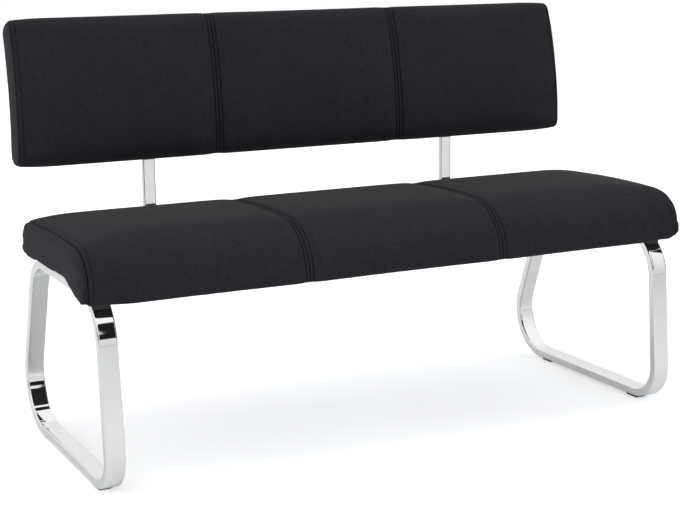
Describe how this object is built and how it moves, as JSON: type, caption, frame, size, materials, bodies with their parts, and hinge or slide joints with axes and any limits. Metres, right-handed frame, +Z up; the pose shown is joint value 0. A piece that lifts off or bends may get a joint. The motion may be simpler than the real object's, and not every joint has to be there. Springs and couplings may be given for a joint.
{
  "type": "dining bench",
  "caption": "Upholstered dining bench with a waterfall seat and a panelled backrest on slim posts, standing on chromed flat-tube loops.",
  "frame": {"origin": "on the floor under the middle of the bench's box", "axes": "+X along the bench, towards the right end as seen from the front; +Y from the front edge to the backrest; +Z up"},
  "size_m": [1.4, 0.5967, 0.9077],
  "materials": {
    "upholstery": "fine matt grain, near-black",
    "chrome": "polished",
    "black_plastic": "fine matt",
    "zinc_steel": "zinc plated",
    "plywood": "raw birch plywood",
    "under_cloth": "thin spun cloth"
  },
  "bodies": {
    "root": {"backrest_board": "plywood", "backrest_end_left": "upholstery", "backrest_end_right": "upholstery", "backrest_pad_centre": "upholstery", "backrest_pad_left": "upholstery", "backrest_pad_right": "upholstery", "backrest_rear_pad": "upholstery", "backrest_screws": "zinc_steel", "front_block_left": "black_plastic", "front_block_right": "black_plastic", "glide_front_left": "black_plastic", "glide_front_right": "black_plastic", "glide_rear_left": "black_plastic", "glide_rear_right": "black_plastic", "glide_screws": "zinc_steel", "leg_bolts": "zinc_steel", "leg_loop_left": "chrome", "leg_loop_right": "chrome", "leg_tee_nuts": "zinc_steel", "leg_washers": "zinc_steel", "post_bolts": "zinc_steel", "post_left": "chrome", "post_plug_left": "black_plastic", "post_plug_right": "black_plastic", "post_right": "chrome", "post_tee_nuts": "zinc_steel", "rear_spacer_left": "black_plastic", "rear_spacer_right": "black_plastic", "seat_board": "plywood", "seat_end_left": "upholstery", "seat_end_right": "upholstery", "seat_front_rail": "plywood", "seat_pad_centre": "upholstery", "seat_pad_left": "upholstery", "seat_pad_right": "upholstery", "seat_underside_cover": "under_cloth"}
  },
  "joints": []
}
